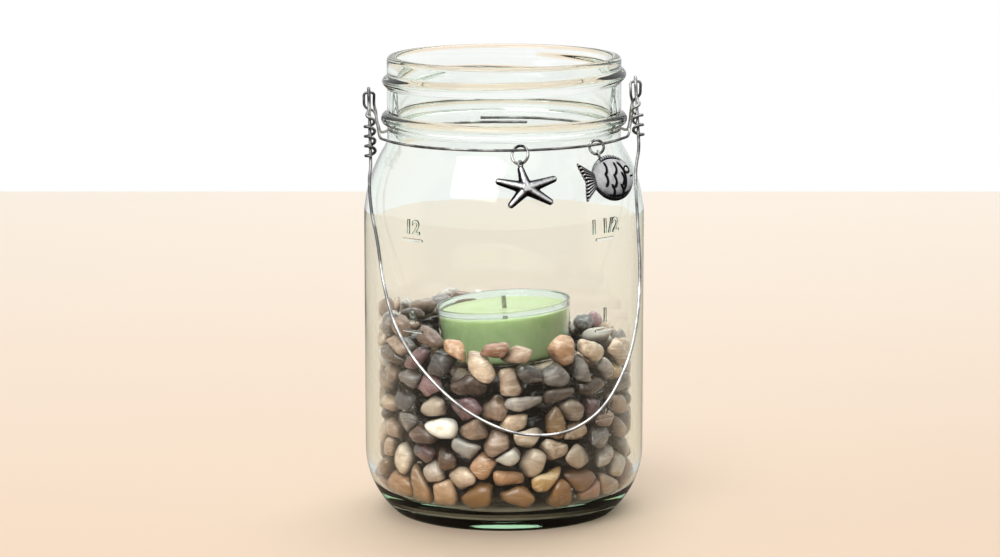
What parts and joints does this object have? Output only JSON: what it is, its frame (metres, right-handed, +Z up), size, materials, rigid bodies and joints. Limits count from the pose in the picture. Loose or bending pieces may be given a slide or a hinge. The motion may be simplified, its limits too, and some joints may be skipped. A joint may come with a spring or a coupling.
{
  "type": "mason jar lantern",
  "caption": "Clear pint jar on a bed of pebbles with a loose tealight inside, a swinging wire handle hung in two wire eyes, and starfish and fish charms on jump rings.",
  "frame": {"origin": "centre of the foot ring, on the table", "axes": "+Z up the jar's axis; the front, where the handle rests and the charms hang, faces -Y"},
  "size_m": [0.0797, 0.0868, 0.13],
  "materials": {
    "clear_glass": "smooth, faintly green",
    "wire": "bright wire",
    "antique_silver": "antiqued cast metal, dark in its hollows",
    "clear_plastic": "clear, thin-walled",
    "wax": "smooth wax",
    "cotton": "waxed cotton wick",
    "tin": "stamped tin",
    "pebbles_tan": "tumbled stone",
    "pebbles_beige": "tumbled stone",
    "pebbles_grey": "tumbled stone",
    "pebbles_brown": "tumbled stone",
    "pebbles_plum": "tumbled stone",
    "pebbles_slate": "tumbled stone",
    "pebbles_rust": "tumbled stone",
    "pebbles_white": "tumbled stone",
    "pebbles_amber": "tumbled stone"
  },
  "bodies": {
    "jar": {"glass_jar": "clear_glass", "neck_wire": "wire", "pebbles_tan": "pebbles_tan", "pebbles_beige": "pebbles_beige", "pebbles_grey": "pebbles_grey", "pebbles_brown": "pebbles_brown", "pebbles_plum": "pebbles_plum", "pebbles_slate": "pebbles_slate", "pebbles_rust": "pebbles_rust", "pebbles_white": "pebbles_white", "pebbles_amber": "pebbles_amber"},
    "handle": {"handle_wire": "wire"},
    "starfish_link": {"starfish_ring": "antique_silver"},
    "starfish": {"starfish_charm": "antique_silver"},
    "fish_link": {"fish_ring": "antique_silver"},
    "fish": {"fish_charm": "antique_silver"},
    "tealight": {"tealight_cup": "clear_plastic", "candle_wax": "wax", "wick": "cotton", "wick_sustainer": "tin"}
  },
  "joints": [
    {"name": "handle_swing", "type": "hinge", "parent": "jar", "child": "handle", "pos_m": [-0.0382, 0, 0.1194], "axis": [-0.9991, 0, -0.0425], "range_deg": [0, 305.5]},
    {"name": "starfish_ring_swing", "type": "hinge", "parent": "jar", "child": "starfish_link", "pos_m": [0.00425, -0.03464, 0.10762], "axis": [-0.9925, -0.1219, 0], "range_deg": [0, 75]},
    {"name": "starfish_swing", "type": "hinge", "parent": "starfish_link", "child": "starfish", "pos_m": [0.00441, -0.03592, 0.10407], "axis": [-0.8787, 0.4351, -0.1962], "range_deg": [0, 50]},
    {"name": "fish_ring_swing", "type": "hinge", "parent": "jar", "child": "fish_link", "pos_m": [0.02532, -0.02402, 0.10777], "axis": [-0.6884, -0.7254, 0], "range_deg": [0, 75]},
    {"name": "fish_swing", "type": "hinge", "parent": "fish_link", "child": "fish", "pos_m": [0.02601, -0.02468, 0.10527], "axis": [-0.9626, -0.1426, -0.2304], "range_deg": [0, 38]},
    {"name": "tealight_lift", "type": "slide", "parent": "jar", "child": "tealight", "axis": [0, 0, 1], "range_m": [0, 0.12]}
  ]
}
